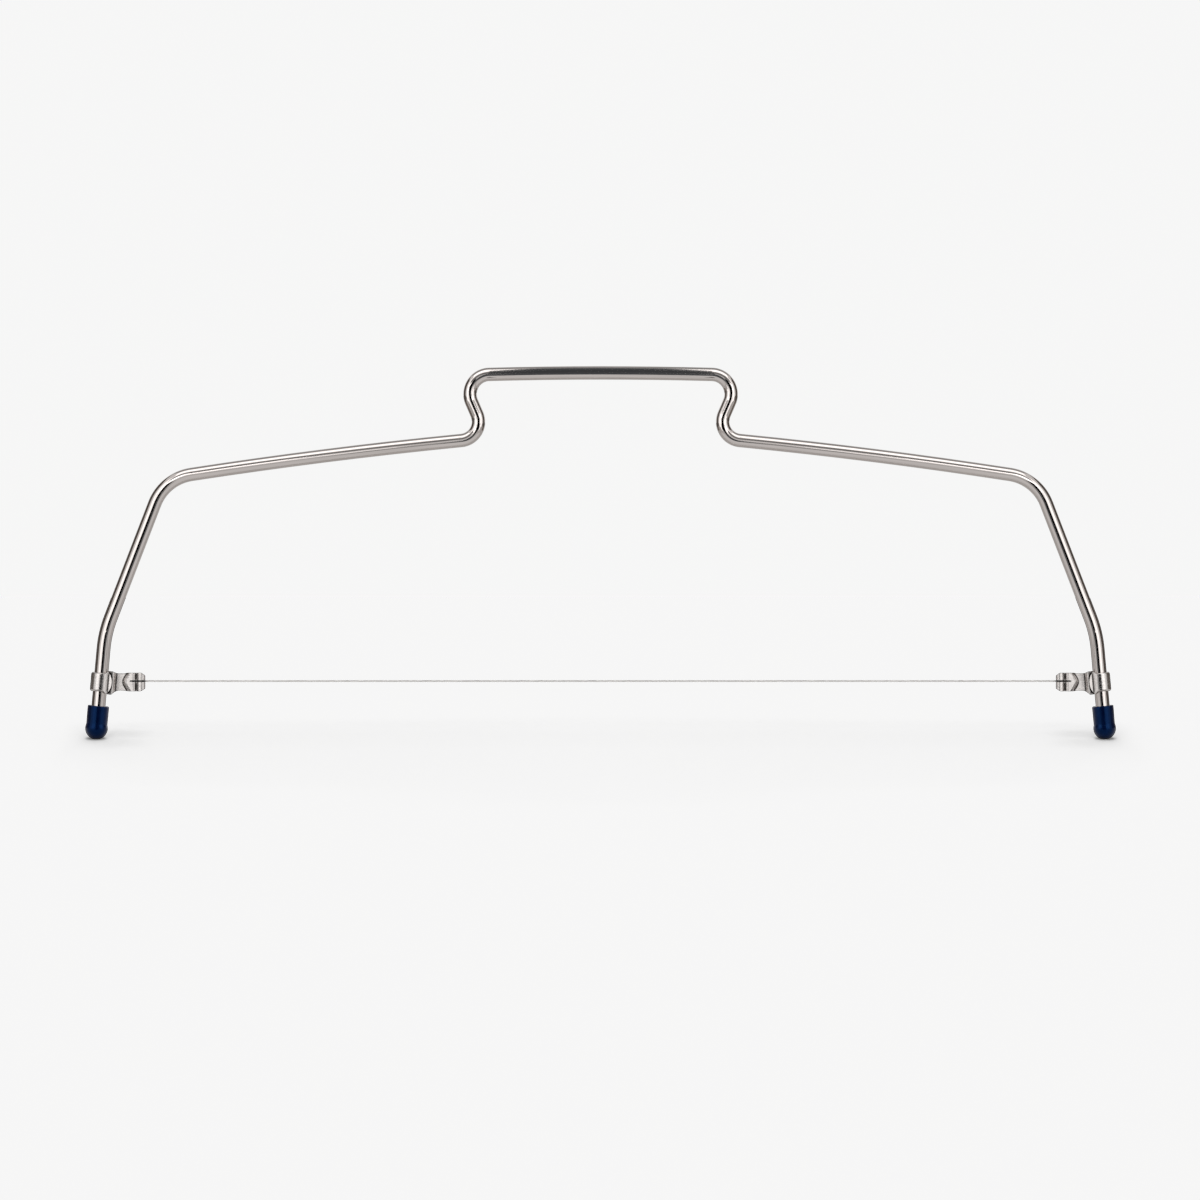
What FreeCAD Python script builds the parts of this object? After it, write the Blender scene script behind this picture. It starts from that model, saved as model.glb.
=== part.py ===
"""Cake leveler: a bent steel rod on two capped feet, and a cutting wire between clips that slide on the legs.

Millimetres. +Z is up, +X runs along the wire, and -Y is the front, where the clips' flaps lie.
The origin is on the table, midway between the feet. The left side is modelled and mirrored to the right.
"""

import FreeCAD
import Part
import math
import os

from FreeCAD import Placement, Rotation, Vector

# Frame rod: one bent rod, given by the corners of its centre line and the bend at each corner
OVERALL_WIDTH = 320.0
OVERALL_HEIGHT = 115.7
ROD_DIAMETER = 4.2
ROD_END_CHAMFER = 0.4
HANDLE_WIDTH = 87.2
HANDLE_RISE = 20.2
HANDLE_BOW = 0.7
HANDLE_BEND_RADIUS = 6.1
NECK_WIDTH = 70.4
NECK_BEND_RADIUS = 5.9
ARM_DROP = 12.6
ARM_BOW = 0.8
SHOULDER_BEND_RADIUS = 14.5
LEG_LEAN_DEG = 21.1
FOOT_LEAN_DEG = 5.1
KNEE_BEND_RADIUS = 36.0

# Foot caps: soft sleeves with a round bulb under the end of the rod
CAP_LENGTH = 10.4
CAP_RIM_DIAMETER = 6.5
CAP_RIM_ROUND = 0.3
CAP_WAIST_INSET = 0.22
CAP_WAIST_BLEND = 1.5
CAP_FLOOR = 4.3
CAP_BORE_CLEARANCE = 0.02
BULB_DIAMETER = 6.84
FOOT_FLAT_DEPTH = 0.2

# Clips: one strip of sheet each, wrapped round the leg and folded over the end of the wire
SHEET = 0.7
LOOP_CLEARANCE = 0.25
BAND_HEIGHT = 5.8
BAND_EDGE_LAND = 0.1
FLARE_HEIGHT = 7.1
FLARE_RISE = 0.6
FLARE_ROUND = 0.3

# The lip that ends the strip in front of the leg, and the seat behind it that steps back to the tab
LIP_STANDOUT = 0.55
LIP_END_DEPTH = 1.48
LIP_FLARE_DEG = 22.0
LIP_BEND_RADIUS = 0.55
LIP_GAP = 0.08
SEAT_FORWARD = 0.75
SEAT_LENGTH = 0.2
SEAT_BEND_RADIUS = 0.55
JOGGLE_DEG = 65.0
JOGGLE_BEND_RADIUS = 0.45

# The tab, and the head that folds forward over the wire to a pointed flap
TAB_LENGTH = 2.25
TAB_HEIGHT = 5.2
TAB_FLARE_RADIUS = 3.0
POCKET_GAP = 1.0
FLAP_LENGTH = 6.8
HEAD_HEIGHT = 5.6
CHEVRON_LEAN_DEG = 32.0
CHEVRON_ROUND = 2.2
NOSE_SLOPE_DEG = 68.0
NOSE_BEND_RADIUS = 0.55
NOSE_GAP = 0.06
END_TAPER_LENGTH = 1.3
END_TAPER_RISE = 0.8
END_ROUND = 0.4
GROOVE_SETBACK = 2.7
GROOVE_DEPTH = 0.62
GROOVE_FLOOR = 0.3
GROOVE_WALL_DEG = 50.0
GROOVE_BEND_RADIUS = 0.45
SLIT_LENGTH = 4.4

# Cutting wire, and the ferrule crimped on each end of it
WIRE_DIAMETER = 0.4
WIRE_RISE = 0.3
WIRE_SLIT_CLEARANCE = 0.08
FERRULE_DIAMETER = 0.85
FERRULE_LENGTH = 0.7
FERRULE_ROUND = 0.12
FERRULE_SEAT_GAP = 0.35

# Travel of the clips along the legs, from the stored position
CLIP_DROP = 3.6
CLIP_LIFT = 7.1
STOP_GAP = 0.3

# Sizes that follow from the ones above
rod_radius = ROD_DIAMETER / 2
handle_height = OVERALL_HEIGHT - rod_radius
neck_height = handle_height - HANDLE_RISE
shoulder_height = neck_height - ARM_DROP
bulb_radius = BULB_DIAMETER / 2
foot_lean = math.radians(FOOT_LEAN_DEG)
leg_lean = math.radians(LEG_LEAN_DEG)
wire_radius = WIRE_DIAMETER / 2
loop_radius = rod_radius + LOOP_CLEARANCE + SHEET / 2
loop_outside = loop_radius + SHEET / 2
lip_reach = loop_outside + LIP_STANDOUT
lip_chord = lip_reach - LIP_END_DEPTH
ply_offset = (POCKET_GAP + SHEET) / 2
tool_reach = 10 * (lip_reach + TAB_LENGTH + FLAP_LENGTH)

# Stations along the left foot, measured up its axis from the bottom of the bulb
clip_station = CAP_LENGTH + FLARE_HEIGHT / 2 + CLIP_DROP + STOP_GAP
knee_start = clip_station + BAND_HEIGHT / 2 + CLIP_LIFT + STOP_GAP
knee_station = knee_start + KNEE_BEND_RADIUS * math.tan((leg_lean - foot_lean) / 2)


def foot_point(station):
    """The point on the left foot's axis at a distance up from the bottom of the bulb."""
    bulb_x = bulb_radius - OVERALL_WIDTH / 2
    bulb_z = bulb_radius - FOOT_FLAT_DEPTH
    rise = station - bulb_radius
    return Vector(bulb_x + rise * math.sin(foot_lean), 0, bulb_z + rise * math.cos(foot_lean))


def mirrored(shape):
    """The right-hand copy of a left-hand shape."""
    return shape.mirror(Vector(0, 0, 0), Vector(1, 0, 0))


def bend_edges(corners, radii):
    """Straight runs through the corners, with a tangent arc at each inner corner that has a radius."""
    edges = []
    start = corners[0]
    for before, corner, after, radius in zip(corners, corners[1:], corners[2:], radii):
        inward = (before - corner).normalize()
        outward = (after - corner).normalize()
        half_turn = (math.pi - inward.getAngle(outward)) / 2
        tangent = radius * math.tan(half_turn)
        first = corner + inward * tangent
        last = corner + outward * tangent
        edges.append(Part.LineSegment(start, first).toShape())
        if radius:
            bisector = (inward + outward).normalize()
            middle = corner + bisector * (radius / math.cos(half_turn) - radius)
            edges.append(Part.Arc(first, middle, last).toShape())
        start = last
    edges.append(Part.LineSegment(start, corners[-1]).toShape())
    return edges


def corner_tangent(before, corner, after, radius):
    """The length that a bend takes from each run beside its corner."""
    turn = math.pi - (before - corner).getAngle(after - corner)
    return radius * math.tan(turn / 2)


def bow_corner(first, last, bow, first_tangent, last_tangent):
    """The extra corner, and its radius, that bows the middle of a run out to the left of its direction.

    The arc fills the run between the tangent lengths that the bends at its two ends take up.
    """
    along = last - first
    room = along.Length / 2 - max(first_tangent, last_tangent)
    normal = Vector(-along.z, 0, along.x).normalize()
    half_turn = 2 * math.atan(bow / (along.Length - room))
    corner = (first + last) / 2 + normal * (along.Length / 2 * math.tan(half_turn))
    return corner, room / math.tan(half_turn)


def frame_rod():
    """The bent rod: feet, knees, shoulders, bowed arms, necks and the bowed handle."""
    foot_end = foot_point(CAP_FLOOR)
    knee = foot_point(knee_station)
    leg_rise = shoulder_height - knee.z
    shoulder = Vector(knee.x + leg_rise * math.tan(leg_lean), 0, shoulder_height)
    neck = Vector(-NECK_WIDTH / 2, 0, neck_height)
    handle = Vector(-HANDLE_WIDTH / 2, 0, handle_height - HANDLE_BOW)
    handle_right = Vector(-handle.x, 0, handle.z)

    shoulder_tangent = corner_tangent(knee, shoulder, neck, SHOULDER_BEND_RADIUS)
    neck_tangent = corner_tangent(shoulder, neck, handle, NECK_BEND_RADIUS)
    handle_tangent = corner_tangent(neck, handle, handle_right, HANDLE_BEND_RADIUS)
    arm, arm_radius = bow_corner(shoulder, neck, ARM_BOW, shoulder_tangent, neck_tangent)
    crest, crest_radius = bow_corner(handle, handle_right, HANDLE_BOW, handle_tangent, handle_tangent)

    left = [foot_end, knee, shoulder, arm, neck, handle]
    left_radii = [KNEE_BEND_RADIUS, SHOULDER_BEND_RADIUS, arm_radius, NECK_BEND_RADIUS, HANDLE_BEND_RADIUS]
    right = [Vector(-p.x, 0, p.z) for p in reversed(left)]
    spine = Part.Wire(bend_edges(left + [crest] + right, left_radii + [crest_radius] + left_radii[::-1]))

    section = Part.Wire(Part.Circle(foot_end, knee - foot_end, rod_radius).toShape())
    rod = spine.makePipeShell([section], True, False)
    ends = [e for e in rod.Edges if e.Closed and abs(e.CenterOfMass.z - foot_end.z) < ROD_END_CHAMFER]
    return rod.makeChamfer(ROD_END_CHAMFER, ends)


def foot_cap():
    """The left foot's sleeve, blended to its bulb, turned about the foot's axis and cut flat on the table."""
    rim_radius = CAP_RIM_DIAMETER / 2
    bore_radius = rod_radius + CAP_BORE_CLEARANCE
    rim_at = CAP_LENGTH - CAP_RIM_ROUND
    rim_inset = CAP_RIM_ROUND * (1 - math.sqrt(0.5))

    def at(radius, height):
        return Vector(radius, 0, height)

    bulb = at(0, bulb_radius)
    blend_reach = bulb_radius + CAP_WAIST_BLEND
    blend_across = blend_reach - CAP_WAIST_INSET
    blend = bulb + at(blend_across, math.sqrt(blend_reach ** 2 - blend_across ** 2))
    waist = blend - at(CAP_WAIST_BLEND, 0)
    meet = bulb + (blend - bulb) * (bulb_radius / blend_reach)
    toward_bend = ((waist - blend) + (meet - blend)).normalize()

    outline = Part.Wire([
        Part.Arc(at(0, 0), at(bulb_radius, bulb_radius), meet).toShape(),
        Part.Arc(meet, blend + toward_bend * CAP_WAIST_BLEND, waist).toShape(),
        Part.LineSegment(waist, at(rim_radius, rim_at)).toShape(),
        Part.Arc(at(rim_radius, rim_at), at(rim_radius - rim_inset, CAP_LENGTH - rim_inset),
                 at(rim_radius - CAP_RIM_ROUND, CAP_LENGTH)).toShape(),
        Part.LineSegment(at(rim_radius - CAP_RIM_ROUND, CAP_LENGTH), at(bore_radius, CAP_LENGTH)).toShape(),
        Part.LineSegment(at(bore_radius, CAP_LENGTH), at(bore_radius, CAP_FLOOR)).toShape(),
        Part.LineSegment(at(bore_radius, CAP_FLOOR), at(0, CAP_FLOOR)).toShape(),
        Part.LineSegment(at(0, CAP_FLOOR), at(0, 0)).toShape(),
    ])
    cap = Part.Face(outline).revolve(Vector(0, 0, 0), Vector(0, 0, 1), 360)
    cap.Placement = Placement(foot_point(0), Rotation(Vector(0, 1, 0), FOOT_LEAN_DEG))
    below = Part.makeBox(2 * BULB_DIAMETER, 2 * BULB_DIAMETER, BULB_DIAMETER)
    below.translate(Vector(foot_point(0).x - BULB_DIAMETER, -BULB_DIAMETER, -BULB_DIAMETER))
    return cap.cut(below)


def polar(centre, radius, degrees):
    """A point on a circle in the strip's plan."""
    angle = math.radians(degrees)
    return centre + Vector(radius * math.cos(angle), radius * math.sin(angle), 0)


def arc_sides(centre, radius, start_deg, end_deg):
    """The left and right edges of a strip that bends round a centre from one angle to another."""
    left_radius = radius - math.copysign(SHEET / 2, end_deg - start_deg)
    stops = (start_deg, (start_deg + end_deg) / 2, end_deg)
    return [Part.Arc(*[polar(centre, side, a) for a in stops]).toShape()
            for side in (left_radius, 2 * radius - left_radius)]


def line_sides(start, end):
    """The left and right edges of a straight stretch of strip."""
    along = (end - start).normalize()
    shift = Vector(-along.y, along.x, 0) * (SHEET / 2)
    return [Part.LineSegment(start + side, end + side).toShape() for side in (shift, shift * -1)]


def joggle(start, rise, turn_deg, radius):
    """Two opposite bends that carry a strip along +X sideways by a rise, and the point where they end."""
    side = math.copysign(1, rise)
    turn = math.radians(turn_deg)
    slope = (abs(rise) - 2 * radius * (1 - math.cos(turn))) / math.sin(turn)
    end = start + Vector(2 * radius * math.sin(turn) + slope * math.cos(turn), rise, 0)
    first = start + Vector(0, side * radius, 0)
    last = end - Vector(0, side * radius, 0)
    low, high = side * (turn_deg - 90), side * (turn_deg + 90)
    spans = [
        arc_sides(first, radius, -90 * side, low),
        line_sides(polar(first, radius, low), polar(last, radius, high)),
        arc_sides(last, radius, high, 90 * side),
    ]
    return spans, end


def strip_plan(spans):
    """The closed outline, in plan, of a strip of sheet that follows tangent spans."""
    left = [span[0] for span in spans]
    right = [span[1] for span in spans]
    first = Part.LineSegment(left[0].firstVertex(True).Point, right[0].firstVertex(True).Point).toShape()
    last = Part.LineSegment(left[-1].lastVertex(True).Point, right[-1].lastVertex(True).Point).toShape()
    return Part.Wire(Part.__sortEdges__(left + right + [first, last]))


def strip(spans):
    """A tall strip of sheet whose plan follows tangent spans, centred on z = 0."""
    solid = Part.Face(strip_plan(spans)).extrude(Vector(0, 0, tool_reach))
    solid.translate(Vector(0, 0, -tool_reach / 2))
    return solid


def block(corners):
    """A block through Y with a front outline of corners, each given as across, up and its rounding."""
    points = [Vector(u, -tool_reach / 2, w) for u, w, radius in corners]
    start = (points[0] + points[-1]) / 2
    edges = bend_edges([start] + points + [start], [radius for u, w, radius in corners])
    return Part.Face(Part.Wire(edges)).extrude(Vector(0, tool_reach, 0))


def both_sides(upper):
    """An outline's upper corners, followed back by their mirror images below."""
    return upper + [(u, -w, radius) for u, w, radius in reversed(upper)]


def on_leg(u, w, radius):
    """A corner given in from the leg and along it, turned level."""
    sine, cosine = math.sin(foot_lean), math.cos(foot_lean)
    return u * cosine + w * sine, w * cosine - u * sine, radius


def loop_leave(bend_y, bend_radius):
    """The centre of a bend that turns away from the loop at a depth, and the angle where they meet."""
    bend_x = math.sqrt((loop_radius + bend_radius) ** 2 - bend_y ** 2)
    return Vector(bend_x, bend_y, 0), math.degrees(math.atan2(bend_y, bend_x))


def front_ply():
    """The half of the loop in front of the leg, with the round-ended lip that flares out past it."""
    lip_y = -SEAT_FORWARD - SHEET - LIP_GAP
    bend, leave = loop_leave(lip_y - LIP_BEND_RADIUS, LIP_BEND_RADIUS)
    lip_start = polar(bend, LIP_BEND_RADIUS, 90 - LIP_FLARE_DEG)
    lip_stop = lip_start + polar(Vector(0, 0, 0), lip_reach, -LIP_FLARE_DEG)
    ply = strip([
        arc_sides(Vector(0, 0, 0), loop_radius, -180, leave),
        arc_sides(bend, LIP_BEND_RADIUS, leave + 180, 90 - LIP_FLARE_DEG),
        line_sides(lip_start, lip_stop),
    ])
    outline = block(both_sides([
        (-tool_reach, BAND_HEIGHT / 2, 0),
        (lip_chord - FLARE_RISE, BAND_HEIGHT / 2, 0),
        (lip_chord, FLARE_HEIGHT / 2, 0),
        (tool_reach, FLARE_HEIGHT / 2, 0),
    ]))
    end_radius = ((FLARE_HEIGHT / 2) ** 2 + LIP_END_DEPTH ** 2) / (2 * LIP_END_DEPTH)
    round_end = Part.makeCylinder(end_radius, tool_reach, Vector(lip_reach - end_radius, -tool_reach / 2, 0),
                                  Vector(0, 1, 0))
    lip = ply.common(outline).common(round_end)
    short_edges = [e for e in lip.Edges if e.Length < 2 * SHEET]
    points = [e for e in short_edges if abs(e.CenterOfMass.z) > FLARE_HEIGHT / 2 - LIP_GAP]
    return lip.makeFillet(FLARE_ROUND, points)


def seat_layout():
    """The bend that turns the back ply to its seat, where the seat ends, and the step back to the tab."""
    bend, leave = loop_leave(SEAT_BEND_RADIUS - SEAT_FORWARD, SEAT_BEND_RADIUS)
    seat_end = Vector(bend.x + SEAT_LENGTH, -SEAT_FORWARD, 0)
    step, tab_start = joggle(seat_end, SEAT_FORWARD + ply_offset, JOGGLE_DEG, JOGGLE_BEND_RADIUS)
    return bend, leave, seat_end, step, tab_start


tab_begin = seat_layout()[-1].x
flap_tip = tab_begin + TAB_LENGTH
head_reach = flap_tip + FLAP_LENGTH
chevron_lean = math.radians(CHEVRON_LEAN_DEG)
chevron_corner = flap_tip - CHEVRON_ROUND * (1 / math.cos(chevron_lean) - 1)
chevron_side = chevron_corner + HEAD_HEIGHT / 2 * math.tan(chevron_lean)
head_end = [
    (head_reach - END_TAPER_LENGTH, HEAD_HEIGHT / 2, END_ROUND),
    (head_reach, HEAD_HEIGHT / 2 - END_TAPER_RISE, END_ROUND),
]


def back_outline():
    """The front outline of the band, its flare, the tab and the head, with the flare square to the leg."""
    band = [
        (-tool_reach, BAND_HEIGHT / 2, 0),
        (lip_chord - FLARE_RISE, BAND_HEIGHT / 2, 0),
        (lip_chord, FLARE_HEIGHT / 2, FLARE_ROUND),
        (lip_reach, FLARE_HEIGHT / 2, FLARE_ROUND),
    ]
    level = [(tab_begin, TAB_HEIGHT / 2, TAB_FLARE_RADIUS), (flap_tip, TAB_HEIGHT / 2, 0)]
    level += [(chevron_side, HEAD_HEIGHT / 2, 0)] + head_end
    upper = [on_leg(*corner) for corner in band] + level
    lower = [on_leg(u, -w, radius) for u, w, radius in band] + [(u, -w, radius) for u, w, radius in level]
    return block(upper + lower[::-1])


def back_ply():
    """The half of the loop behind the leg, turned forward to the seat and stepped back to the tab."""
    bend, leave, seat_end, step, tab_start = seat_layout()
    return strip([
        arc_sides(Vector(0, 0, 0), loop_radius, 180, leave),
        arc_sides(bend, SEAT_BEND_RADIUS, leave + 180, 270),
        line_sides(Vector(bend.x, -SEAT_FORWARD, 0), seat_end),
        *step,
        line_sides(tab_start, tab_start + Vector(TAB_LENGTH, 0, 0)),
    ])


def tab():
    """The level stretch of the back ply, from beside the step to the middle of the fold."""
    fold = Vector(head_reach - ply_offset - SHEET / 2, 0, 0)
    return strip([
        line_sides(Vector(tab_begin + SHEET, ply_offset, 0), Vector(fold.x, ply_offset, 0)),
        arc_sides(fold, ply_offset, 90, 0),
    ])


def groove_start():
    """Where the flap starts to dip into the crimped groove."""
    wall = joggle(Vector(0, 0, 0), GROOVE_DEPTH, GROOVE_WALL_DEG, GROOVE_BEND_RADIUS)[1].x
    return Vector(head_reach - GROOVE_SETBACK - GROOVE_FLOOR / 2 - wall, -ply_offset, 0)


def nose():
    """The flap's end, bent down to the tab along a round-tipped chevron, and how far in the bend reaches."""
    slope = math.radians(NOSE_SLOPE_DEG)
    foot = Vector(SHEET / 2 * math.sin(slope), POCKET_GAP / 2 - NOSE_GAP - SHEET / 2 * math.cos(slope), 0)
    turn_start = -90 - NOSE_SLOPE_DEG
    turn = polar(Vector(0, 0, 0), NOSE_BEND_RADIUS, turn_start)
    bend_y = NOSE_BEND_RADIUS - ply_offset
    slope_top = foot + Vector(1, -math.tan(slope), 0) * ((foot.y - bend_y - turn.y) / math.tan(slope))
    bend = slope_top - turn
    section = strip_plan([
        line_sides(foot, slope_top),
        arc_sides(bend, NOSE_BEND_RADIUS, turn_start, -90),
    ])

    beyond = HEAD_HEIGHT * math.tan(chevron_lean)
    corners = [(beyond, -HEAD_HEIGHT), (0, 0), (beyond, HEAD_HEIGHT)]
    path = Part.Wire(bend_edges([Vector(chevron_corner + u, 0, w) for u, w in corners], [CHEVRON_ROUND]))
    section.Placement = Placement(Vector(chevron_corner + beyond, 0, -HEAD_HEIGHT),
                                  Rotation(Vector(0, 1, 0), -CHEVRON_LEAN_DEG))
    wall = path.makePipeShell([section], True, False)
    head = [(chevron_corner, HEAD_HEIGHT / 2, 0), (head_reach, HEAD_HEIGHT / 2, 0)]
    return wall.common(block(both_sides(head))), bend.x


def flap():
    """The folded flap: crimped groove, flat face, and a pointed nose bent down to the tab."""
    fold = Vector(head_reach - ply_offset - SHEET / 2, 0, 0)
    dip, floor_start = joggle(groove_start(), GROOVE_DEPTH, GROOVE_WALL_DEG, GROOVE_BEND_RADIUS)
    floor_end = floor_start + Vector(GROOVE_FLOOR, 0, 0)
    climb, groove_end = joggle(floor_end, -GROOVE_DEPTH, GROOVE_WALL_DEG, GROOVE_BEND_RADIUS)
    ply = strip([
        line_sides(Vector(flap_tip, -ply_offset, 0), groove_start()),
        *dip,
        line_sides(floor_start, floor_end),
        *climb,
        line_sides(groove_end, Vector(fold.x, -ply_offset, 0)),
        arc_sides(fold, ply_offset, -90, 0),
    ])
    pointed_end, flat_in = nose()
    inset = flat_in / math.cos(chevron_lean)
    sides = [(chevron_side + inset, HEAD_HEIGHT / 2, 0)] + head_end
    outline = block([(chevron_corner + inset, 0, CHEVRON_ROUND - flat_in), *both_sides(sides)])
    return ply.common(outline).fuse(pointed_end)


def wire_slit():
    """The cut along the flap and through the fold that the wire lies in."""
    width = WIRE_DIAMETER + 2 * WIRE_SLIT_CLEARANCE
    front = -ply_offset - SHEET
    depth = width / 2 - front
    inner_end = head_reach - SLIT_LENGTH
    slit = Part.makeBox(SLIT_LENGTH, depth, width, Vector(inner_end, front, WIRE_RISE - width / 2))
    end = Part.makeCylinder(width / 2, depth, Vector(inner_end, front, WIRE_RISE), Vector(0, 1, 0))
    return slit.fuse(end)


def band_edges(body):
    """The long outer edges of the loop, where the sheet's edge is rounded off."""
    round_edges = [e for e in body.Edges if isinstance(e.Curve, Part.Circle)]
    return [e for e in round_edges if abs(e.Curve.Radius - loop_outside) < LIP_GAP and e.Length > loop_radius]


def clip():
    """The left clip in place: loop, lip, tab and head as one piece of sheet."""
    loop = [front_ply(), back_ply()]
    for ply in loop:
        ply.rotate(Vector(0, 0, 0), Vector(0, 1, 0), FOOT_LEAN_DEG)
    outline = back_outline()
    body = loop[0].fuse([loop[1].common(outline), tab().common(outline), flap()])
    body = body.cut(wire_slit()).removeSplitter()
    body = body.makeFillet(SHEET - BAND_EDGE_LAND, band_edges(body))
    body.translate(foot_point(clip_station))
    return body


def ferrule_seat():
    """The end of the left ferrule that faces the groove."""
    centre = foot_point(clip_station)
    return centre + Vector(groove_start().x - FERRULE_SEAT_GAP, 0, WIRE_RISE)


def cutting_wire():
    """The taut wire, from the far end of one ferrule to the far end of the other."""
    start = ferrule_seat() - Vector(FERRULE_LENGTH, 0, 0)
    return Part.makeCylinder(wire_radius, -2 * start.x, start, Vector(1, 0, 0))


def wire_ferrule():
    """The sleeve crimped on the wire's left end, with rounded rims."""
    start = ferrule_seat() - Vector(FERRULE_LENGTH, 0, 0)
    sleeve = Part.makeCylinder(FERRULE_DIAMETER / 2, FERRULE_LENGTH, start, Vector(1, 0, 0))
    sleeve = sleeve.makeFillet(FERRULE_ROUND, [e for e in sleeve.Edges if e.Closed])
    bore = Part.makeCylinder(wire_radius, FERRULE_LENGTH, start, Vector(1, 0, 0))
    return sleeve.cut(bore)


def main():
    """Builds every piece and writes one file for each."""
    os.makedirs("parts", exist_ok=True)
    pieces = {"frame_rod": frame_rod(), "cutting_wire": cutting_wire()}
    for name, shape in (("foot_cap", foot_cap()), ("clip", clip()), ("wire_ferrule", wire_ferrule())):
        pieces["left_" + name] = shape
        pieces["right_" + name] = mirrored(shape)
    for name, shape in pieces.items():
        shape.exportStep(os.path.join("parts", name + ".step"))
        print(name, len(shape.Solids), "solid,", round(shape.Volume, 3), "mm3, valid", shape.isValid())


main()
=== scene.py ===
"""Looks of the cake leveler: finishes, lights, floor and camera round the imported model. Metres throughout."""

import cmath
import math

import bmesh
import bpy
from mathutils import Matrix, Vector


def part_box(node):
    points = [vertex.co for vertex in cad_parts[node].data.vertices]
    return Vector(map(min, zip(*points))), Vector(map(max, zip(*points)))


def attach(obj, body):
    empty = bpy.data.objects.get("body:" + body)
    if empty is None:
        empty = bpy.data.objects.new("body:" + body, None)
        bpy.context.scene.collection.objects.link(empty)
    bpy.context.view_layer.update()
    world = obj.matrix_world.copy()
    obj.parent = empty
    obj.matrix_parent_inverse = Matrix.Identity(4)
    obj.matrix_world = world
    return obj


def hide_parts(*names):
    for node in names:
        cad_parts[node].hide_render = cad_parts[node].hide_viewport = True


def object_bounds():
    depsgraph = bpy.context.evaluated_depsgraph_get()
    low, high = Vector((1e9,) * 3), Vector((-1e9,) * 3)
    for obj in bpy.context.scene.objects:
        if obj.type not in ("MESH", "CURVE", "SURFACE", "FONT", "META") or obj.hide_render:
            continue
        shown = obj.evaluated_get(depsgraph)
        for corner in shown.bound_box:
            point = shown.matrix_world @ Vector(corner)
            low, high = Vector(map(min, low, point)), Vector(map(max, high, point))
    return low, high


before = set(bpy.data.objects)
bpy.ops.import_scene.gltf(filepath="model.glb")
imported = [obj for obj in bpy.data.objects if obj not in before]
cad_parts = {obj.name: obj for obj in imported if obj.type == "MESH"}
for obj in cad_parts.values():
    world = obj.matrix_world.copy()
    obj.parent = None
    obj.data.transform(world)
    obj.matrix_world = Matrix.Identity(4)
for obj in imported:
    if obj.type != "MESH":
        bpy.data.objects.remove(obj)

MM = 0.001

# Rod: the corners of its centre line on the left side, and the bend at each
ROD_RADIUS = 2.1 * MM
ROD_END_CHAMFER = 0.4 * MM
FOOT_LEAN = math.radians(5.1)
LEG_LEAN = math.radians(21.1)
KNEE_SPAN = 307.864 * MM
KNEE_HEIGHT = 32.892 * MM
KNEE_BEND = 36.0 * MM
SHOULDER_BEND = 14.5 * MM
ARM_DROP = 12.6 * MM
ARM_BOW = 0.8 * MM
NECK_SPAN = 70.4 * MM
NECK_BEND = 5.9 * MM
HANDLE_SPAN = 87.2 * MM
HANDLE_RISE = 20.2 * MM
HANDLE_BOW = 0.7 * MM
HANDLE_BEND = 6.1 * MM

# Wire: its ends are pinched flat inside the ferrules
WIRE_RADIUS = 0.2 * MM
PINCH_LENGTH = 0.5 * MM
PINCH_SHARE = 0.8

# How finely the rod and the wire are meshed
ROD_SIDES = 48
WIRE_SIDES = 16
BEND_STEP = math.radians(3.0)
LEAST_BEND_STEPS = 8
EDGE_ANGLE = math.radians(30.0)

# The range in which most values of a noise lie
NOISE_LOW = 0.3
NOISE_HIGH = 0.7

# Drawn steel: lines many times longer than wide, and a cloudy polish in waves per metre
LINE_LENGTH_RATIO = 50.0
POLISH_WAVES = (260.0, 260.0, 60.0)
ROD_DARK = (0.510, 0.470, 0.450)
ROD_LIGHT = (0.605, 0.558, 0.535)
ROD_ROUGHNESS = (0.06, 0.10)
ROD_LINE_PITCH = 0.45 * MM
ROD_LINE_DEPTH = 0.001 * MM
WIRE_DARK = (0.91, 0.895, 0.88)
WIRE_LIGHT = (0.97, 0.955, 0.94)
WIRE_ROUGHNESS = (0.62, 0.70)
WIRE_LINE_PITCH = 0.08 * MM
WIRE_LINE_DEPTH = 0.0004 * MM

# The wire keeps its full colour up to the clips' heads and is darker from a little further in
WIRE_FULL_TONE_TO = 141.0 * MM
WIRE_DARKENED_FROM = 141.8 * MM
WIRE_DARKENED_SHARE = 0.10

# Stamped steel of the clips, with its patterns in waves per metre
CLIP_DARK = (0.565, 0.531, 0.512)
CLIP_LIGHT = (0.672, 0.638, 0.619)
CLIP_ROUGHNESS = (0.23, 0.31)
ROLLED_WAVES = (400.0, 2600.0, 2600.0)
ROLLED_DEPTH = 0.001 * MM
CLOUD_WAVES = (420.0, 420.0, 420.0)
DENT_WAVES = (1500.0, 1500.0, 1500.0)
DENT_DEPTH = 0.002 * MM

# Painted shade in the clips' creases: its reach, and how open a place is where the shade is full and where it
# is gone
CREASE_REACH = 0.8 * MM
CREASE_SAMPLES = 64
CREASE_SHADE_FULL_AT = 0.81
CREASE_SHADE_GONE_AT = 0.92
CREASE_SHADE = (0.03, 0.027, 0.024)

# Vinyl of the foot caps
VINYL_DARK = (0.0005, 0.0032, 0.021)
VINYL_LIGHT = (0.0009, 0.0048, 0.029)
VINYL_DARK_TO = 0.35
VINYL_ROUGHNESS = (0.20, 0.28)
VINYL_SPECULAR = 0.46
VINYL_SPECULAR_TINT = (0.08, 0.32, 1.0)
WEAR_WAVES = (380.0, 380.0, 380.0)
PEEL_WAVES = (2600.0, 2600.0, 2600.0)
PEEL_DEPTH = 0.002 * MM

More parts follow.
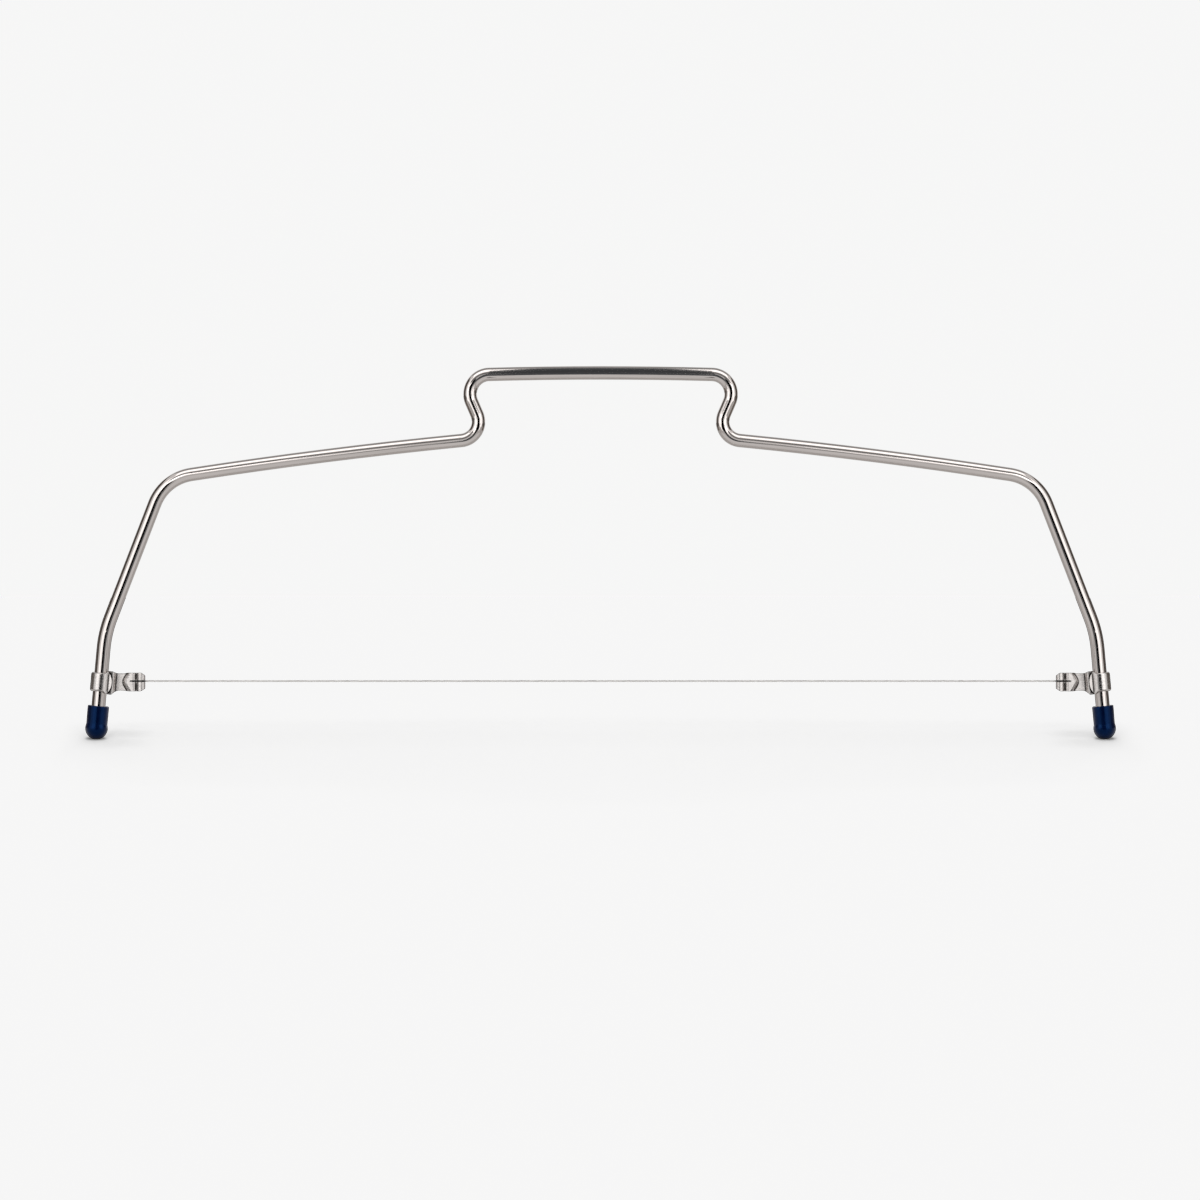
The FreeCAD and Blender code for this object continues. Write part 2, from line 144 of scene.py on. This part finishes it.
# Camera: a long lens, nearly level, framing this much width at the object
VIEW_WIDTH = 372.7 * MM
VIEW_CENTRE = (-0.18 * MM, 0.0, 43.07 * MM)
LENS_MM = 200.0
SENSOR_MM = 36.0
CAMERA_DISTANCE = VIEW_WIDTH * LENS_MM / SENSOR_MM
CAMERA_ELEVATION = math.radians(0.4)

# Surround and floor: the floor slopes down in front and eases to level behind
PALE = (0.925, 0.925, 0.923)
PALE_LEVEL = 1.0
FILL_LEVEL = 0.30
FLOOR_COLOUR = (0.56, 0.55, 0.54)
FLOOR_HALF = 6.0
FLOOR_SLOPE = math.radians(11.0)
FLOOR_EASE = 60.0 * MM
FLOOR_EASE_STEPS = 16

# Lights: places, sizes and power
TOP_PLACE = (0.0, -0.14, 1.58)
TOP_TARGET = (0.0, 0.0, 0.0)
TOP_SIZE = (0.90, 2.40)
TOP_WATTS = 24.0
FRONT_PLACE = (0.0, -1.50, 0.45)
FRONT_TARGET = (0.0, 0.0, 0.03)
FRONT_SIZE = (1.20, 0.40)
FRONT_WATTS = 8.0

# Tints and levels of the cards that show only in reflections
WHITE = (1.0, 1.0, 1.0)
BROWN = (1.0, 0.87, 0.76)
COOL = (0.92, 1.0, 1.08)
BRIGHT_LEVEL = 2.0
NECK_LEVEL = 3.0
TOP_LEVEL = 2.2
ARM_LEVEL = 0.26
EDGE_LEVEL = 0.11
FLAG_LEVEL = 0.22
BACK_LEVEL = 0.40
FLOOR_LEVEL = 0.84
NEAR_FLOOR_LEVEL = 0.80
LOW_SIDE_LEVEL = 0.68
LOW_MIDDLE_LEVEL = 0.45
LINE_LEVEL = 0.0

# Upright cards on the right: the two ends (x, y) of each on the floor, and its heights
SIDE_NEAR = (0.31, -0.35)
SIDE_FAR = (0.43, -0.235)
SIDE_LOW = 0.0
SIDE_HIGH = 0.42
INNER_TIP = (0.185, -0.355)
INNER_LOW = 0.02
INNER_HIGH = 0.15
NECK_NEAR = (0.12, -0.36)
NECK_FAR = (0.26, -0.25)
NECK_LOW = 0.145
NECK_HIGH = 0.21
OUTER_NEAR = (0.165, -0.305)
OUTER_FAR = (0.26, -0.305)
OUTER_LOW = -0.01
OUTER_HIGH = 0.066
EDGE_NEAR = (0.507, -0.077)
EDGE_FAR = (0.32, 0.30)
EDGE_LOW = -0.02
EDGE_HIGH = 0.42

# Front card on the right: its inner and outer x, its depth, and the heights (low, high) of those two edges
FRONT_INNER_X = 0.07
FRONT_OUTER_X = 0.19
FRONT_Y = -0.29
FRONT_INNER_HEIGHTS = (0.066, 0.097)
FRONT_OUTER_HEIGHTS = (0.094, 0.137)

# Leaning and level cards on the right: ranges of x, and the places (y, z) of the near and far edges
ARM_RANGE = (0.05, 0.30)
ARM_NEAR = (-0.325, 0.182)
ARM_FAR = (-0.255, 0.320)
TOP_NEAR_RANGE = (0.052, 0.30)
TOP_FAR_RANGE = (0.036, 0.30)
TOP_NEAR = (-0.225, 0.355)
TOP_FAR = (-0.04, 0.43)
FLAG_RANGE = (0.20, 0.50)
FLAG_NEAR = (-0.02, 0.006)
FLAG_FAR = (0.30, 0.006)

# Dim band before and over the handle: its edges (y, z) upward, and each card's level and half widths
BAND_EDGES = ((-0.30, -0.050), (-0.30, 0.10), (-0.30, 0.140), (-0.30, 0.20), (-0.20, 0.36), (0.0, 0.44))
BAND_CARDS = (("low", 0.10, 0.044, 0.044), ("middle", 0.09, 0.048, 0.048), ("upper", 0.08, 0.048, 0.048),
              ("high", 0.075, 0.048, 0.048), ("top", 0.10, 0.048, 0.030))

# Cards behind, on the floor in front and low in front: half widths, and the places (y, z) of their edges
BACK_HALF = 0.30
BACK_NEAR = (0.012, 0.435)
BACK_FAR = (0.268, 0.31)
NEAR_FLOOR_HALF = 0.135
NEAR_FLOOR_START = (-0.012, -0.0005)
FLOOR_CARD_HALF = 0.16
FLOOR_CARD_START = (-0.05, -0.006)
FLOOR_CARD_END = (-0.305, -0.055)
LOW_MIDDLE_HALF = 0.08
LOW_CARD_TOP = (-0.305, 0.062)

# Dark strips close in front of the legs and necks, which draw a dark line down the middle of each
LINE_AHEAD = 12.0 * MM
LEG_LINE_HALF = 3.0 * MM
NECK_LINE_HALF = 3.4 * MM
LINE_BELOW = 4.0 * MM

cad_low, cad_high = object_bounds()


def unit(value):
    """A complex number's direction."""
    return value / abs(value)


def turn_between(before, corner, after):
    """The signed turn of a path at a corner."""
    return cmath.phase((after - corner) / (corner - before))


def bend_length(before, corner, after, radius):
    """The length that a bend takes from each run beside its corner."""
    return radius * math.tan(abs(turn_between(before, corner, after)) / 2)


def bow_corner(first, last, bow, ends_taken):
    """The middle corner and radius that bow a run out to its left, between the lengths its end bends take."""
    length = abs(last - first)
    room = length / 2 - ends_taken
    slope = 2 * math.atan(bow / (length - room))
    corner = (first + last) / 2 + 1j * unit(last - first) * (length / 2) * math.tan(slope)
    return corner, room / math.tan(slope)


def rod_corners():
    """The rod's corners from left foot to right foot, as x + z j, and the radius at each inner corner."""
    rod_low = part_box("frame_rod")[0]
    handle_height = cad_high.z - ROD_RADIUS
    neck = complex(-NECK_SPAN / 2, handle_height - HANDLE_RISE)
    handle = complex(-HANDLE_SPAN / 2, handle_height - HANDLE_BOW)
    mirror_handle = complex(-handle.real, handle.imag)
    knee = complex(-KNEE_SPAN / 2, KNEE_HEIGHT)
    shoulder_rise = neck.imag - ARM_DROP - knee.imag
    shoulder = knee + shoulder_rise * complex(math.tan(LEG_LEAN), 1)
    end_height = rod_low.z + (ROD_RADIUS - ROD_END_CHAMFER) * math.sin(FOOT_LEAN)
    foot_end = knee - (knee.imag - end_height) * complex(math.tan(FOOT_LEAN), 1)

    arm_taken = max(bend_length(knee, shoulder, neck, SHOULDER_BEND),
                    bend_length(shoulder, neck, handle, NECK_BEND))
    arm, arm_radius = bow_corner(shoulder, neck, ARM_BOW, arm_taken)
    handle_taken = bend_length(neck, handle, mirror_handle, HANDLE_BEND)
    crest, crest_radius = bow_corner(handle, mirror_handle, HANDLE_BOW, handle_taken)
    left = [foot_end, knee, shoulder, arm, neck, handle]
    radii = [KNEE_BEND, SHOULDER_BEND, arm_radius, NECK_BEND, HANDLE_BEND]
    right = [complex(-p.real, p.imag) for p in reversed(left)]
    return left + [crest] + right, radii + [crest_radius] + radii[::-1]


def rounded_path(corners, radii):
    """Stations (point, heading) along straight runs joined by tangent arcs."""
    stations = [(corners[0], unit(corners[1] - corners[0]))]
    for before, corner, after, radius in zip(corners, corners[1:], corners[2:], radii):
        heading = unit(corner - before)
        turn = turn_between(before, corner, after)
        start = corner - heading * bend_length(before, corner, after, radius)
        centre = start + 1j * heading * math.copysign(radius, turn)
        steps = max(LEAST_BEND_STEPS, math.ceil(abs(turn) / BEND_STEP))
        for step in range(steps + 1):
            spin = cmath.exp(1j * turn * step / steps)
            stations.append((centre + (start - centre) * spin, heading * spin))
    stations.append((corners[-1], stations[-1][1]))
    return stations


def new_object(name, data):
    """An object in the scene that shows some data."""
    obj = bpy.data.objects.new(name, data)
    bpy.context.scene.collection.objects.link(obj)
    return obj


def sweep(name, stations, sides):
    """A closed round bar along stations (point, heading, half height, half depth), with a map of its surface.

    The grain attribute holds the place on the surface as a straight bar, and the UV map runs along the bar.
    """
    mesh = bpy.data.meshes.new(name)
    shape = bmesh.new()
    grain = shape.verts.layers.float_vector.new("grain")
    uv = shape.loops.layers.uv.new("along_bar")
    rings = []
    travelled = []
    length = 0.0
    before = stations[0][0]
    for point, heading, half_height, half_depth in stations:
        length += abs(point - before)
        before = point
        ring = []
        for side in range(sides):
            angle = math.tau * side / sides
            off = 1j * heading * half_height * math.cos(angle)
            depth = half_depth * math.sin(angle)
            vert = shape.verts.new((point.real + off.real, depth, point.imag + off.imag))
            vert[grain] = (half_height * math.cos(angle), depth, length)
            ring.append(vert)
        rings.append(ring)
        travelled.append(length)
    girth = math.tau * max(station[2] for station in stations)
    for ring, after, start, end in zip(rings, rings[1:], travelled, travelled[1:]):
        for side in range(sides):
            near = (side + 1) % sides
            face = shape.faces.new((ring[side], after[side], after[near], ring[near]))
            low = girth * side / sides
            high = girth * (side + 1) / sides
            for loop, place in zip(face.loops, ((start, low), (end, low), (end, high), (start, high))):
                loop[uv].uv = place
    shape.faces.new(rings[0])
    shape.faces.new(rings[-1][::-1])
    bmesh.ops.recalc_face_normals(shape, faces=shape.faces)
    shape.to_mesh(mesh)
    shape.free()
    mesh.shade_smooth()
    mesh.set_sharp_from_angle(angle=EDGE_ANGLE)
    return new_object(name, mesh)


def make_rod():
    """The bent rod, chamfered at its ends inside the foot caps."""
    path = rounded_path(*rod_corners())
    stations = [(point, heading, ROD_RADIUS, ROD_RADIUS) for point, heading in path]
    rim = ROD_RADIUS - ROD_END_CHAMFER
    for index, way in ((0, 1), (-1, -1)):
        point, heading, _, _ = stations[index]
        stations[index] = (point + way * heading * ROD_END_CHAMFER, heading, ROD_RADIUS, ROD_RADIUS)
        stations.insert(0 if way > 0 else len(stations), (point, heading, rim, rim))
    rod = sweep("rod", stations, ROD_SIDES)
    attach(rod, "frame")
    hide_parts("frame_rod")
    return rod


def make_wire():
    """The taut wire, pinched flat where each ferrule is crimped on it."""
    low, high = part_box("cutting_wire")
    height = (low.z + high.z) / 2
    flat = WIRE_RADIUS * PINCH_SHARE
    half = [(high.x, flat), (high.x - PINCH_LENGTH / 2, flat), (high.x - PINCH_LENGTH, WIRE_RADIUS)]
    profile = [(-x, r) for x, r in half] + half[::-1]
    stations = [(complex(x, height), complex(1, 0), r, WIRE_RADIUS) for x, r in profile]
    wire = sweep("wire", stations, WIRE_SIDES)
    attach(wire, "wire")
    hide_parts("cutting_wire")
    return wire


def add(tree, kind, inputs=None, **settings):
    """A new shader node with some of its settings and input values."""
    node = tree.nodes.new("ShaderNode" + kind)
    for key, value in settings.items():
        setattr(node, key, value)
    for key, value in (inputs or {}).items():
        node.inputs[key].default_value = value
    return node


def new_material(name, **inputs):
    """A material with one Principled shader, and its node tree."""
    material = bpy.data.materials.new(name)
    material.use_nodes = True
    tree = material.node_tree
    tree.nodes.clear()
    shader = add(tree, "BsdfPrincipled", inputs)
    output = add(tree, "OutputMaterial")
    tree.links.new(shader.outputs["BSDF"], output.inputs["Surface"])
    return material, tree, shader


def noise(tree, coordinates, waves, **inputs):
    """Noise with a number of waves per metre along each axis of the coordinates."""
    mapping = add(tree, "Mapping", {"Scale": waves})
    tree.links.new(coordinates, mapping.inputs["Vector"])
    texture = add(tree, "TexNoise", {"Scale": 1.0, **inputs})
    tree.links.new(mapping.outputs["Vector"], texture.inputs["Vector"])
    return texture.outputs["Fac"]


def ramp(tree, value, *stops):
    """A colour that follows a value between two stops, each a position and a colour."""
    node = add(tree, "ValToRGB")
    for element, (position, colour) in zip(node.color_ramp.elements, stops):
        element.position = position
        element.color = (*colour, 1.0)
    tree.links.new(value, node.inputs["Fac"])
    return node.outputs["Color"]


def spread(tree, value, limits, target):
    """Drives a number socket between two limits from a noise value's middle range."""
    low, high = limits
    node = add(tree, "MapRange", {"From Min": NOISE_LOW, "From Max": NOISE_HIGH,
                                  "To Min": low, "To Max": high})
    tree.links.new(value, node.inputs["Value"])
    tree.links.new(node.outputs["Result"], target)


def relief(tree, shader, value, depth, normal=None):
    """Adds a bump of a depth in metres to a shader, on top of an earlier one if its normal is given."""
    bump = add(tree, "Bump", {"Strength": 1.0, "Distance": depth})
    tree.links.new(value, bump.inputs["Height"])
    if normal:
        tree.links.new(normal, bump.inputs["Normal"])
    tree.links.new(bump.outputs["Normal"], shader.inputs["Normal"])
    return bump.outputs["Normal"]


def drawn_steel(name, dark, light, roughness, line_pitch, line_depth):
    """Steel drawn through a die: long fine lines along the bar and cloudy polish."""
    material, tree, shader = new_material(name, Metallic=1.0)
    place = add(tree, "Attribute", attribute_name="grain").outputs["Vector"]
    line_waves = (1 / line_pitch, 1 / line_pitch, 1 / (line_pitch * LINE_LENGTH_RATIO))
    lines = noise(tree, place, line_waves, Detail=3.0, Roughness=0.65)
    cloud = noise(tree, place, POLISH_WAVES, Detail=2.0)
    tangent = add(tree, "Tangent", direction_type="UV_MAP", uv_map="along_bar")
    tree.links.new(tangent.outputs["Tangent"], shader.inputs["Tangent"])
    colour = ramp(tree, lines, (NOISE_LOW, dark), (NOISE_HIGH, light))
    tree.links.new(colour, shader.inputs["Base Color"])
    spread(tree, cloud, roughness, shader.inputs["Roughness"])
    relief(tree, shader, lines, line_depth)
    return material, tree, shader


def drawn_rod_steel():
    """Satin drawn rod."""
    material, _, _ = drawn_steel("drawn_rod_steel", ROD_DARK, ROD_LIGHT, ROD_ROUGHNESS,
                                 ROD_LINE_PITCH, ROD_LINE_DEPTH)
    return material


def wire_darkened_in_heads():
    """Bright drawn wire, darker where its ends lie in the clips' heads."""
    material, tree, shader = drawn_steel("drawn_wire_steel", WIRE_DARK, WIRE_LIGHT, WIRE_ROUGHNESS,
                                         WIRE_LINE_PITCH, WIRE_LINE_DEPTH)
    place = add(tree, "SeparateXYZ")
    tree.links.new(add(tree, "TexCoord").outputs["Object"], place.inputs["Vector"])
    outward = add(tree, "Math", operation="ABSOLUTE")
    tree.links.new(place.outputs["X"], outward.inputs[0])
    # The colour is darkened to a share of itself from a little inside the clips' heads out to the wire's ends
    share = add(tree, "MapRange", {"From Min": WIRE_FULL_TONE_TO, "From Max": WIRE_DARKENED_FROM,
                                   "To Min": 1.0, "To Max": WIRE_DARKENED_SHARE})
    tree.links.new(outward.outputs["Value"], share.inputs["Value"])
    darkened = add(tree, "VectorMath", operation="SCALE")
    tree.links.new(shader.inputs["Base Color"].links[0].from_socket, darkened.inputs["Vector"])
    tree.links.new(share.outputs["Result"], darkened.inputs["Scale"])
    tree.links.new(darkened.outputs["Vector"], shader.inputs["Base Color"])
    return material


def stamped_steel():
    """Sheet steel, stamped and tumbled: rolling lines, clouds, small dents, and painted shade in its creases.
    """
    material, tree, shader = new_material("stamped_steel", Metallic=1.0)
    place = add(tree, "TexCoord").outputs["Object"]
    rolled = noise(tree, place, ROLLED_WAVES, Detail=4.0, Roughness=0.6)
    cloud = noise(tree, place, CLOUD_WAVES, Detail=3.0)
    dents = noise(tree, place, DENT_WAVES, Detail=1.0)
    clean = ramp(tree, rolled, (NOISE_LOW, CLIP_DARK), (NOISE_HIGH, CLIP_LIGHT))
    # Painted shade: the colour is darkened in creases and other enclosed places, by how little of its
    # surroundings each place sees
    creases = add(tree, "AmbientOcclusion", {"Distance": CREASE_REACH},
                  samples=CREASE_SAMPLES, only_local=True)
    painted_shade = ramp(tree, creases.outputs["AO"], (CREASE_SHADE_FULL_AT, CREASE_SHADE), (CREASE_SHADE_GONE_AT, WHITE))
    shaded = add(tree, "VectorMath", operation="MULTIPLY")
    tree.links.new(clean, shaded.inputs[0])
    tree.links.new(painted_shade, shaded.inputs[1])
    tree.links.new(shaded.outputs["Vector"], shader.inputs["Base Color"])
    spread(tree, cloud, CLIP_ROUGHNESS, shader.inputs["Roughness"])
    rolled_normal = relief(tree, shader, rolled, ROLLED_DEPTH)
    relief(tree, shader, dents, DENT_DEPTH, rolled_normal)
    return material


def dipped_vinyl():
    """Dark blue vinyl with a semi-gloss skin, faint orange peel and a little paler wear."""
    gloss = {"Specular IOR Level": VINYL_SPECULAR, "Specular Tint": (*VINYL_SPECULAR_TINT, 1.0)}
    material, tree, shader = new_material("dipped_vinyl", **gloss)
    place = add(tree, "TexCoord").outputs["Object"]
    wear = noise(tree, place, WEAR_WAVES, Detail=3.0)
    peel = noise(tree, place, PEEL_WAVES, Detail=2.0)
    colour = ramp(tree, wear, (VINYL_DARK_TO, VINYL_DARK), (NOISE_HIGH, VINYL_LIGHT))
    tree.links.new(colour, shader.inputs["Base Color"])
    spread(tree, wear, VINYL_ROUGHNESS, shader.inputs["Roughness"])
    relief(tree, shader, peel, PEEL_DEPTH)
    return material


def dress(obj, material):
    """Gives an object one material in every slot."""
    obj.data.materials.clear()
    obj.data.materials.append(material)


def dress_pieces():
    """Makes the rod and the wire, and gives every piece its finish."""
    rod = make_rod()
    wire = make_wire()
    dress(rod, drawn_rod_steel())
    dress(wire, wire_darkened_in_heads())
    clip_finish = stamped_steel()
    cap_finish = dipped_vinyl()
    for side in ("left", "right"):
        dress(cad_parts[side + "_clip"], clip_finish)
        dress(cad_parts[side + "_wire_ferrule"], clip_finish)
        dress(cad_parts[side + "_foot_cap"], cap_finish)


def pale_world():
    """A pale surround for the camera and for reflections, and a plainer fill for the rest."""
    world = bpy.data.worlds.new("studio")
    world.use_nodes = True
    tree = world.node_tree
    tree.nodes.clear()
    path = add(tree, "LightPath")
    seen = add(tree, "Math", operation="MAXIMUM")
    tree.links.new(path.outputs["Is Camera Ray"], seen.inputs[0])
    tree.links.new(path.outputs["Is Glossy Ray"], seen.inputs[1])
    either = add(tree, "Math", operation="MAXIMUM")
    tree.links.new(seen.outputs["Value"], either.inputs[0])
    tree.links.new(path.outputs["Is Transmission Ray"], either.inputs[1])
    fill = add(tree, "Background", {"Color": (*WHITE, 1.0), "Strength": FILL_LEVEL})
    pale = add(tree, "Background", {"Color": (*PALE, 1.0), "Strength": PALE_LEVEL})
    mix = add(tree, "MixShader")
    tree.links.new(either.outputs["Value"], mix.inputs["Fac"])
    tree.links.new(fill.outputs["Background"], mix.inputs[1])
    tree.links.new(pale.outputs["Background"], mix.inputs[2])
    output = add(tree, "OutputWorld")
    tree.links.new(mix.outputs["Shader"], output.inputs["Surface"])
    bpy.context.scene.world = world


def stage_piece(name, corners, faces, material):
    """A piece of the stage, made of flat faces."""
    mesh = bpy.data.meshes.new(name)
    mesh.from_pydata(corners, [], faces)
    obj = new_object(name, mesh)
    dress(obj, material)
    return obj


def make_floor():
    """The floor, which is invisible but for the shadow on it."""
    slope = math.tan(FLOOR_SLOPE)
    profile = [(-FLOOR_HALF, -FLOOR_HALF * slope)]
    for step in range(FLOOR_EASE_STEPS + 1):
        share = step / FLOOR_EASE_STEPS
        profile.append((FLOOR_EASE * share, FLOOR_EASE * slope * (1 - (1 - share) ** 3) / 3))
    profile.append((FLOOR_HALF, profile[-1][1]))
    corners = [(x, *place) for place in profile for x in (-FLOOR_HALF, FLOOR_HALF)]
    faces = [(i, i + 1, i + 3, i + 2) for i in range(0, len(corners) - 2, 2)]
    matt = {"Base Color": (*FLOOR_COLOUR, 1.0), "Specular IOR Level": 0.0}
    material, _, _ = new_material("floor", **matt)
    floor = stage_piece("floor", corners, faces, material)
    floor.is_shadow_catcher = True


def card(name, level, tint, corners):
    """A glowing or dark card that shows only in reflections."""
    material = bpy.data.materials.new(name)
    material.use_nodes = True
    material.cycles.emission_sampling = "NONE"
    tree = material.node_tree
    tree.nodes.clear()
    glow = add(tree, "Emission", {"Color": (*tint, 1.0), "Strength": level})
    output = add(tree, "OutputMaterial")
    tree.links.new(glow.outputs["Emission"], output.inputs["Surface"])
    obj = stage_piece(name, corners, [tuple(range(len(corners)))], material)
    for kind in ("camera", "diffuse", "transmission", "volume_scatter", "shadow"):
        setattr(obj, "visible_" + kind, False)


def upright(near, far, low, high):
    """The corners of an upright card over a line on the floor."""
    return [(*near, low), (*far, low), (*far, high), (*near, high)]


def tapered(near_range, near, far_range, far):
    """The corners of a card between two edges, each a range of x at a place (y, z)."""
    near_low, near_high = near_range
    far_low, far_high = far_range
    return [(near_low, *near), (near_high, *near), (far_high, *far), (far_low, *far)]


def across(x_range, near, far):
    """The corners of a card over one range of x, between two places (y, z)."""
    return tapered(x_range, near, x_range, far)


def middle(half):
    """A range of x to both sides of the middle."""
    return -half, half


def side_cards():
    """Pairs of cards beside and over the object, which draw lines along the feet, legs, necks and arms."""
    inner_low, inner_high = FRONT_INNER_HEIGHTS
    outer_low, outer_high = FRONT_OUTER_HEIGHTS
    front = [(FRONT_INNER_X, FRONT_Y, inner_low), (FRONT_OUTER_X, FRONT_Y, outer_low),
             (FRONT_OUTER_X, FRONT_Y, outer_high), (FRONT_INNER_X, FRONT_Y, inner_high)]
    inner = [(*SIDE_NEAR, INNER_LOW), (*SIDE_NEAR, INNER_HIGH), (*INNER_TIP, INNER_HIGH)]
    right_cards = (
        ("side_card", BRIGHT_LEVEL, WHITE, upright(SIDE_NEAR, SIDE_FAR, SIDE_LOW, SIDE_HIGH)),
        ("inner_side_card", BRIGHT_LEVEL, WHITE, inner),
        ("neck_card", NECK_LEVEL, WHITE, upright(NECK_NEAR, NECK_FAR, NECK_LOW, NECK_HIGH)),
        ("outer_low_card", BRIGHT_LEVEL, WHITE, upright(OUTER_NEAR, OUTER_FAR, OUTER_LOW, OUTER_HIGH)),
        ("edge_card", EDGE_LEVEL, BROWN, upright(EDGE_NEAR, EDGE_FAR, EDGE_LOW, EDGE_HIGH)),
        ("arm_card", ARM_LEVEL, WHITE, across(ARM_RANGE, ARM_NEAR, ARM_FAR)),
        ("top_card", TOP_LEVEL, WHITE, tapered(TOP_NEAR_RANGE, TOP_NEAR, TOP_FAR_RANGE, TOP_FAR)),
        ("floor_flag", FLAG_LEVEL, BROWN, across(FLAG_RANGE, FLAG_NEAR, FLAG_FAR)),
        ("front_card", BRIGHT_LEVEL, WHITE, front),
    )
    for side, way in (("left", -1), ("right", 1)):
        for name, level, tint, corners in right_cards:
            card(side + "_" + name, level, tint, [(way * x, y, z) for x, y, z in corners])


def band_cards():
    """The dim band before and over the handle, which darkens its face."""
    for (name, level, near_half, far_half), near, far in zip(BAND_CARDS, BAND_EDGES, BAND_EDGES[1:]):
        card("band_" + name, level, COOL, tapered(middle(near_half), near, middle(far_half), far))


def line_card(name, start, end, half_width):
    """A dark strip close in front of a run of the rod, on the way from it to the camera."""
    toward = 1 - LINE_AHEAD / CAMERA_DISTANCE
    aside = 1j * unit(end - start) * half_width
    edge = [start + aside, end + aside, end - aside, start - aside]
    card(name, LINE_LEVEL, WHITE, [(p.real * toward, -LINE_AHEAD, p.imag) for p in edge])


def line_cards():
    """The dark strips in front of both feet, legs and necks."""
    foot, knee, shoulder, _, neck, handle = rod_corners()[0][:6]
    foot -= unit(knee - foot) * LINE_BELOW
    runs = (("foot", foot, knee, LEG_LINE_HALF), ("leg", knee, shoulder, LEG_LINE_HALF),
            ("neck", neck, handle, NECK_LINE_HALF))
    for name, start, end, half_width in runs:
        line_card("left_" + name + "_line", start, end, half_width)
        line_card("right_" + name + "_line", -start.conjugate(), -end.conjugate(), half_width)


def low_cards():
    """What the rod's upper and under sides mirror: a card behind, and cards on the floor and low in front."""
    left_range = (-FLOOR_CARD_HALF, -LOW_MIDDLE_HALF)
    right_range = (LOW_MIDDLE_HALF, FLOOR_CARD_HALF)
    card("back_card", BACK_LEVEL, WHITE, across(middle(BACK_HALF), BACK_NEAR, BACK_FAR))
    card("front_floor_card", FLOOR_LEVEL, WHITE,
         across(middle(FLOOR_CARD_HALF), FLOOR_CARD_START, FLOOR_CARD_END))
    card("near_floor_card", NEAR_FLOOR_LEVEL, WHITE,
         across(middle(NEAR_FLOOR_HALF), NEAR_FLOOR_START, FLOOR_CARD_START))
    card("front_low_card", LOW_MIDDLE_LEVEL, WHITE,
         across(middle(LOW_MIDDLE_HALF), FLOOR_CARD_END, LOW_CARD_TOP))
    card("left_low_card", LOW_SIDE_LEVEL, WHITE, across(left_range, FLOOR_CARD_END, LOW_CARD_TOP))
    card("right_low_card", LOW_SIDE_LEVEL, WHITE, across(right_range, FLOOR_CARD_END, LOW_CARD_TOP))


def softbox(name, place, target, size, watts, shadows):
    """An area light that faces a target and shows neither to the camera nor in the steel."""
    lamp = bpy.data.lights.new(name, "AREA")
    lamp.shape = "RECTANGLE"
    lamp.size, lamp.size_y = size
    lamp.energy = watts
    lamp.use_shadow = shadows
    obj = new_object(name, lamp)
    obj.location = place
    obj.rotation_euler = (Vector(target) - Vector(place)).to_track_quat("-Z", "Y").to_euler()
    obj.visible_camera = False
    obj.visible_glossy = False


def make_stage():
    """The floor, the cards that draw bright and dark lines on the steel, and the lights."""
    make_floor()
    side_cards()
    band_cards()
    line_cards()
    low_cards()
    softbox("top_softbox", TOP_PLACE, TOP_TARGET, TOP_SIZE, TOP_WATTS, shadows=True)
    softbox("front_softbox", FRONT_PLACE, FRONT_TARGET, FRONT_SIZE, FRONT_WATTS, shadows=False)


def make_camera():
    """A long lens in front, nearly level, aimed at the view's centre."""
    lens = bpy.data.cameras.new("camera")
    lens.lens = LENS_MM
    lens.sensor_width = SENSOR_MM
    camera = new_object("camera", lens)
    back = Vector((0, -math.cos(CAMERA_ELEVATION), math.sin(CAMERA_ELEVATION)))
    camera.location = Vector(VIEW_CENTRE) + back * CAMERA_DISTANCE
    camera.rotation_euler = (-back).to_track_quat("-Z", "Y").to_euler()
    bpy.context.scene.camera = camera


dress_pieces()
pale_world()
make_stage()
make_camera()
bpy.context.scene.view_settings.view_transform = "Standard"
